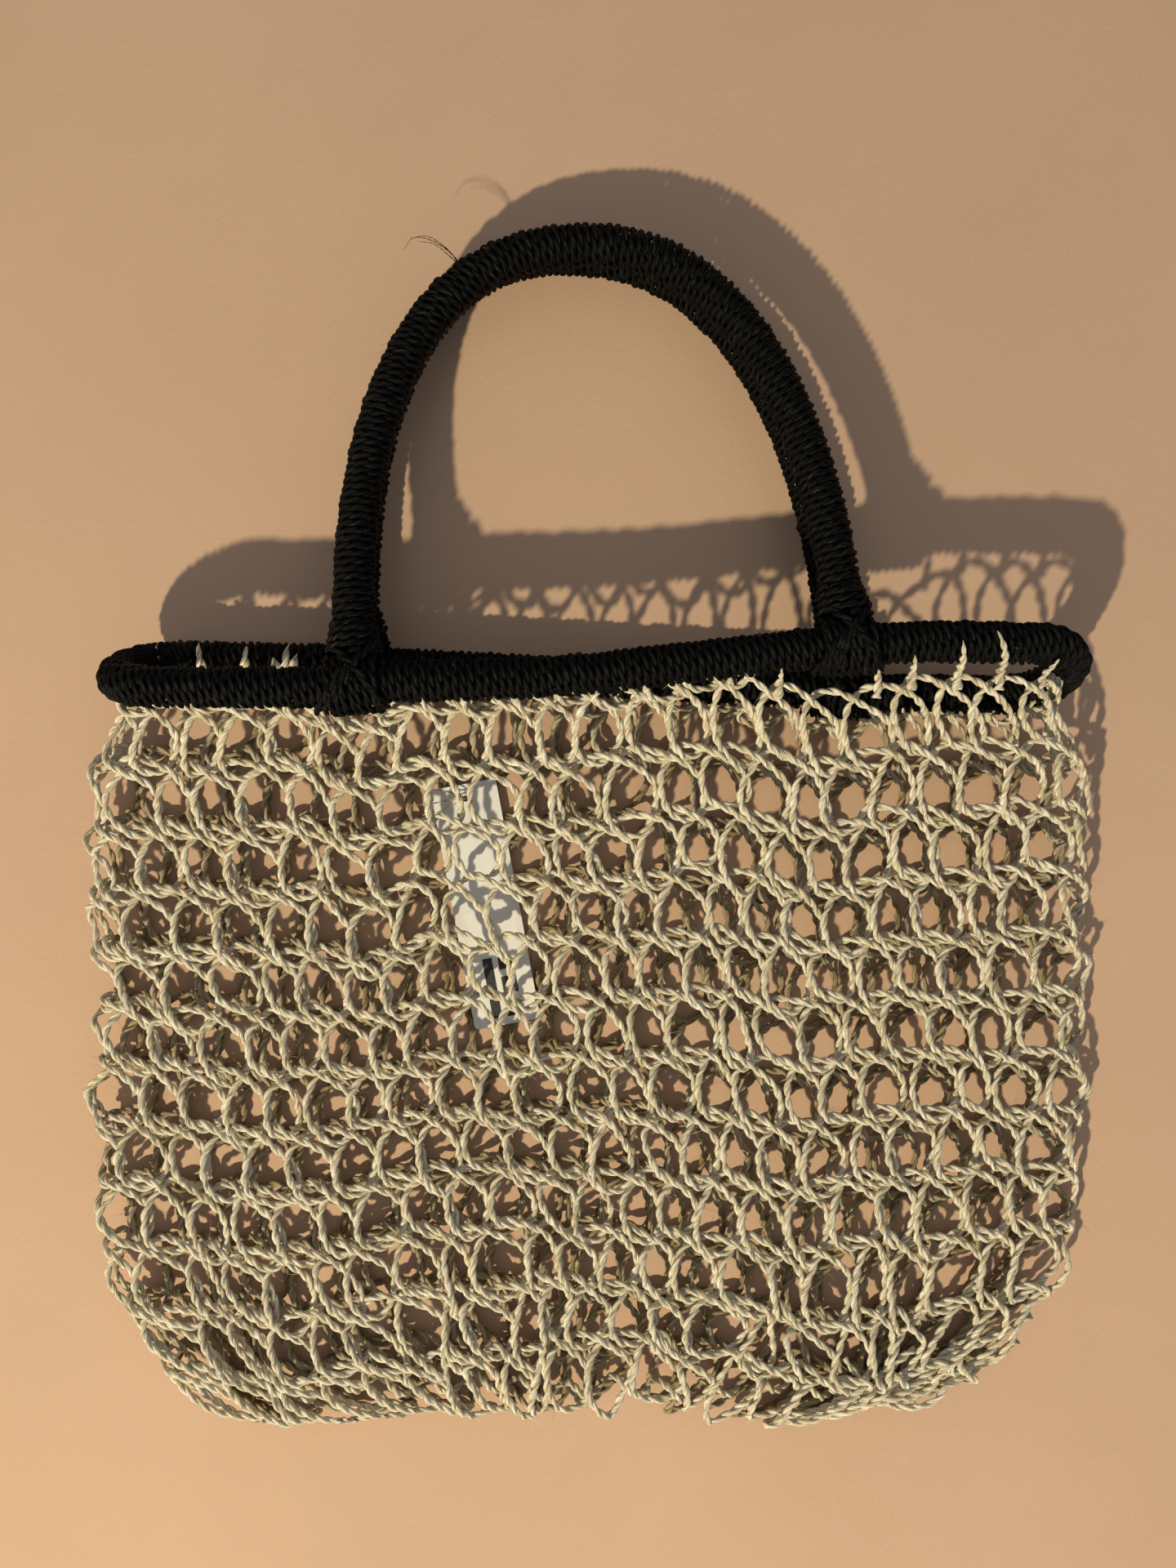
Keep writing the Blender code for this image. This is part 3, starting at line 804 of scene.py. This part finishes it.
# %% A small language for finishes
class Flow:
    """One output of a shader node, with arithmetic."""

    def __init__(self, tree, socket):
        self.tree, self.socket = tree, socket

    def node(self, kind, settings=None, inputs=None, output=0):
        made = self.tree.nodes.new(kind)
        for key, value in (settings or {}).items():
            setattr(made, key, value)
        for key, value in (inputs or {}).items():
            if isinstance(value, Flow):
                self.tree.links.new(value.socket, made.inputs[key])
            else:
                made.inputs[key].default_value = value
        return Flow(self.tree, made.outputs[output])

    def sum_of(self, operation, first, second):
        vector = any(isinstance(item, tuple) or isinstance(item, Flow) and item.socket.type == "VECTOR"
                     for item in (first, second))
        kind = "ShaderNodeVectorMath" if vector else "ShaderNodeMath"
        if vector:
            second = (second,) * 3 if isinstance(second, (int, float)) else second
            return self.node(kind, {"operation": operation}, {0: first, 1: second})
        return self.node(kind, {"operation": operation}, {0: first, 1: second})

    def __add__(self, other):
        return self.sum_of("ADD", self, other)

    def __radd__(self, other):
        return self.sum_of("ADD", self, other)

    def __sub__(self, other):
        return self.sum_of("SUBTRACT", self, other)

    def __rsub__(self, other):
        return self.sum_of("SUBTRACT", other, self)

    def __mul__(self, other):
        return self.sum_of("MULTIPLY", self, other)

    def __rmul__(self, other):
        return self.sum_of("MULTIPLY", self, other)

    def __truediv__(self, other):
        return self.sum_of("DIVIDE", self, other)

    def __rtruediv__(self, other):
        return self.sum_of("DIVIDE", other, self)

    def steps(self, low, high):
        """0 below `low`, 1 above `high`, smooth between."""
        return self.node("ShaderNodeMapRange", {"interpolation_type": "SMOOTHSTEP"},
                         {"Value": self, "From Min": low, "From Max": high})

    def between(self, first, second):
        """A colour from `first` to `second` by this share."""
        return self.node("ShaderNodeMix", {"data_type": "RGBA"},
                         {"Factor": self, 6: first, 7: second}, 2)

    def noise(self, scale, detail=3.0, roughness=0.55):
        """Noise at this place."""
        return self.node("ShaderNodeTexNoise", {"noise_dimensions": "3D"},
                         {"Vector": self, "Scale": scale, "Detail": detail, "Roughness": roughness})

    def named(self, name, vector=False):
        """An attribute stored on the mesh."""
        return self.node("ShaderNodeAttribute", {"attribute_name": name}, {}, 1 if vector else 2)

    def bump(self, height, strength, distance):
        return self.node("ShaderNodeBump", {}, {"Height": height, "Strength": strength,
                                                "Distance": distance})


def new_finish(name, **fixed):
    """A material; returns it, a place to start from, and a `wire` helper."""
    material = bpy.data.materials.new(name)
    material.use_nodes = True
    tree = material.node_tree
    shader = tree.nodes["Principled BSDF"]
    for key, value in fixed.items():
        shader.inputs[key.replace("_", " ")].default_value = value
    place = Flow(tree, tree.nodes.new("ShaderNodeTexCoord").outputs["Object"])

    def wire(**flows):
        for key, flow in flows.items():
            tree.links.new(flow.socket, shader.inputs[key.replace("_", " ")])

    return material, place, wire


def colour(red, green, blue):
    return (red, green, blue, 1.0)


# %% [markdown]
# ## Sisal
# Combed sisal is a bundle of hard, slightly shiny leaf fibres. Each fibre has its own straw
# shade, so the colour is drawn as streaks that run along the ply and turn round it. Slower
# patches go from grey-green to gold, as on leaves from different plants. The streaks follow the
# bump, so their pale crests carry painted highlight and their dark grooves painted shade, and
# cords low in the bag are darkened as painted shade.

# %% Sisal finish
sisal, place, wire = new_finish("sisal_cord", Roughness=0.6, Specular_IOR_Level=0.35)
fibre, tone = place.named("fibre", vector=True), place.named("tone")
streak_place = fibre * (0.13, 1.7, 1.7)
streaks = streak_place.noise(1.0, 4.0, 0.65)
fine_streaks = (fibre * (0.4, 9.0, 9.0)).noise(1.0, 2.0, 0.6)
patches = (fibre * (0.045, 0.3, 0.3)).noise(1.0, 2.0)
areas = place.noise(16.0, 2.0)
straw = (patches + (tone - 0.5) * 0.25).steps(0.34, 0.66).between(
    colour(0.58, 0.51, 0.31), colour(0.80, 0.68, 0.41))
straw = areas.steps(0.36, 0.68).between(straw, colour(0.66, 0.57, 0.35))
# Painted shade: the colour darkens to a dull brown for cords low in the bag, near the floor, standing for
# the shade deep inside the net.
deep = (place.node("ShaderNodeSeparateXYZ", {}, {0: place}, 2) / MM).steps(1.5, 13.0)
# Partly fibre colour, partly painted light: the pale cream streaks sit on the crests of the bump as
# painted highlight, and the dark brown ones in its grooves as painted shade.
pale_fibres_and_crest_highlight = streaks.steps(0.38, 0.64).between(straw, colour(0.99, 0.96, 0.81))
dark_fibres_and_groove_shade = (fine_streaks * 0.6 + streaks * 0.4).steps(0.36, 0.50).between(colour(0.13, 0.085, 0.03), pale_fibres_and_crest_highlight)
painted_low_shade = deep.between(colour(0.37, 0.305, 0.21), colour(1.0, 1.0, 1.0))
wire(Base_Color=place.node("ShaderNodeMix", {"data_type": "RGBA", "blend_type": "MULTIPLY"},
                           {"Factor": 1.0, 6: dark_fibres_and_groove_shade, 7: painted_low_shade}, 2),
     Roughness=streaks.steps(0.3, 0.7) * 0.22 + 0.42,
     Normal=place.bump(fine_streaks * 0.5 + streaks * 0.5, 0.75, 0.0008))

# %% [markdown]
# ## Black cord
# The black cord is the same fibre, dyed. It drinks most of the light, and only the crests of
# its fibres flash where they face the lamp. Sparse grey flecks in its colour are painted glints on those
# crests.

# %% Black cord finish
black_cord, place, wire = new_finish("black_cord", Roughness=0.5, Specular_IOR_Level=0.14)
fibre = place.named("fibre", vector=True)
streaks = (fibre * (0.2, 3.2, 3.2)).noise(1.0, 4.0, 0.65)
fine_streaks = (fibre * (0.5, 10.0, 10.0)).noise(1.0, 2.0, 0.6)
glint_noise = (fibre * (0.05, 0.8, 0.8)).noise(1.0, 3.0)
dye_and_glints = streaks.steps(0.35, 0.75).between(colour(0.0005, 0.0005, 0.0006), colour(0.0028, 0.0030, 0.0031))
# Painted glints: sparse grey flecks in the colour, where two noises meet, stand for light catching the
# crests of the fibres.
dye_and_glints = (glint_noise * fine_streaks).steps(0.31, 0.42).between(dye_and_glints, colour(0.034, 0.035, 0.030))
wire(Base_Color=dye_and_glints, Roughness=fine_streaks.steps(0.3, 0.7) * 0.3 + 0.36,
     Normal=place.bump(fine_streaks * 0.5 + streaks * 0.5, 0.7, 0.0006))

# %% [markdown]
# ## Cane, card and print
# The cane under the winding is stem with fine grain, coloured near black as painted shade, so
# that where it shows between the turns it reads as the shade inside the winding. The tag
# is coated card: smooth, almost white, with soft waves from handling. Its print is a plain dark
# block and bars.

# %% Cane, card and print finishes
# Painted shade: the cane is kept near black so that gaps between the turns of winding stay dark.
cane, place, wire = new_finish("shade_dark_cane", Roughness=0.6)
grain = (place * (60.0, 60.0, 900.0)).noise(1.0, 3.0)
knots = place.noise(90.0, 2.0)
wire(Base_Color=(grain * 0.7 + knots * 0.3).steps(0.3, 0.7).between(
    colour(0.010, 0.007, 0.005), colour(0.030, 0.020, 0.012)),
     Normal=place.bump(grain, 0.4, 0.0005))
card, place, wire = new_finish("coated_card", Roughness=0.4, Specular_IOR_Level=0.4)
waves = place.noise(28.0, 1.0)
fibres = place.noise(900.0, 3.0)
scuffs = (place * (1.0, 0.3, 1.0)).noise(160.0, 4.0, 0.7)
wire(Base_Color=scuffs.steps(0.45, 0.8).between(colour(0.80, 0.81, 0.80), colour(0.70, 0.70, 0.67)),
     Roughness=scuffs * 0.3 + 0.28,
     Normal=place.bump(waves * 0.9 + fibres * 0.02, 0.5, 0.004))
print_ink, place, wire = new_finish("black_print", Roughness=0.4)
ink = place.noise(700.0, 3.0)
wire(Base_Color=ink.steps(0.3, 0.75).between(colour(0.012, 0.014, 0.014), colour(0.035, 0.038, 0.036)),
     Roughness=ink * 0.3 + 0.3)

tag_print.data.materials.append(print_ink)
for thing in [*rounds, base_lacing, rim_tufts, hairs, tie]:
    thing.data.materials.append(sisal)
for thing in bpy.data.objects:
    if thing.get("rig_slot") == "black_cord":
        thing.data.materials.append(black_cord)
nodes = frame["nodes"]
for name, finish in (("rim_core_hoop", cane), ("handle_core_front", cane),
                     ("handle_core_back", cane), ("hang_tag", card)):
    nodes[name].data.materials.clear()
    nodes[name].data.materials.append(finish)


# %% [markdown]
# ## The bench, the lamp and the camera
# The bag lies on a plain pale floor under one small warm lamp, low at the lower left, so that
# the standing hoop throws its shadow up and to the right. An even pale sky fills the shadows.

# %% Floor, light and camera
bpy.ops.mesh.primitive_plane_add(size=6, location=(0, 0, -0.0003))
floor = bpy.context.object
floor.name = "floor"
plaster, place, wire = new_finish("pale_floor", Roughness=0.85, Specular_IOR_Level=0.2)
mottle = place.noise(7.0, 5.0, 0.6)
wire(Base_Color=mottle.steps(0.25, 0.8).between(colour(0.56, 0.385, 0.265), colour(0.60, 0.415, 0.29)),
     Normal=place.bump(place.noise(500.0, 3.0), 0.12, 0.001))
floor.data.materials.append(plaster)


def add_light(name, place, target, size, power, tint):
    data = bpy.data.lights.new(name, "AREA")
    data.shape, data.size, data.energy, data.color = "DISK", size, power, tint
    lamp = bpy.data.objects.new(name, data)
    lamp.location = place
    lamp.rotation_euler = (Vector(target) - Vector(place)).to_track_quat("-Z", "Y").to_euler()
    bpy.context.scene.collection.objects.link(lamp)


add_light("lamp", (-0.84, -1.44, 1.42), (0, 0.0, 0), 0.07, 52, (1.0, 0.86, 0.60))
sky = bpy.data.worlds.new("pale_sky")
sky.use_nodes = True
sky.node_tree.nodes["Background"].inputs["Color"].default_value = (0.80, 0.79, 0.82, 1)
sky.node_tree.nodes["Background"].inputs["Strength"].default_value = 0.38
bpy.context.scene.world = sky

camera = bpy.data.objects.new("camera", bpy.data.cameras.new("camera"))
camera.location = (0, 0.021, 0.490)
camera.data.sensor_fit = "VERTICAL"
camera.data.sensor_height = 36
camera.data.lens = 27.03
camera.data.clip_start = 0.01
bpy.context.scene.collection.objects.link(camera)
bpy.context.scene.camera = camera
bpy.context.scene.view_settings.view_transform = "Standard"
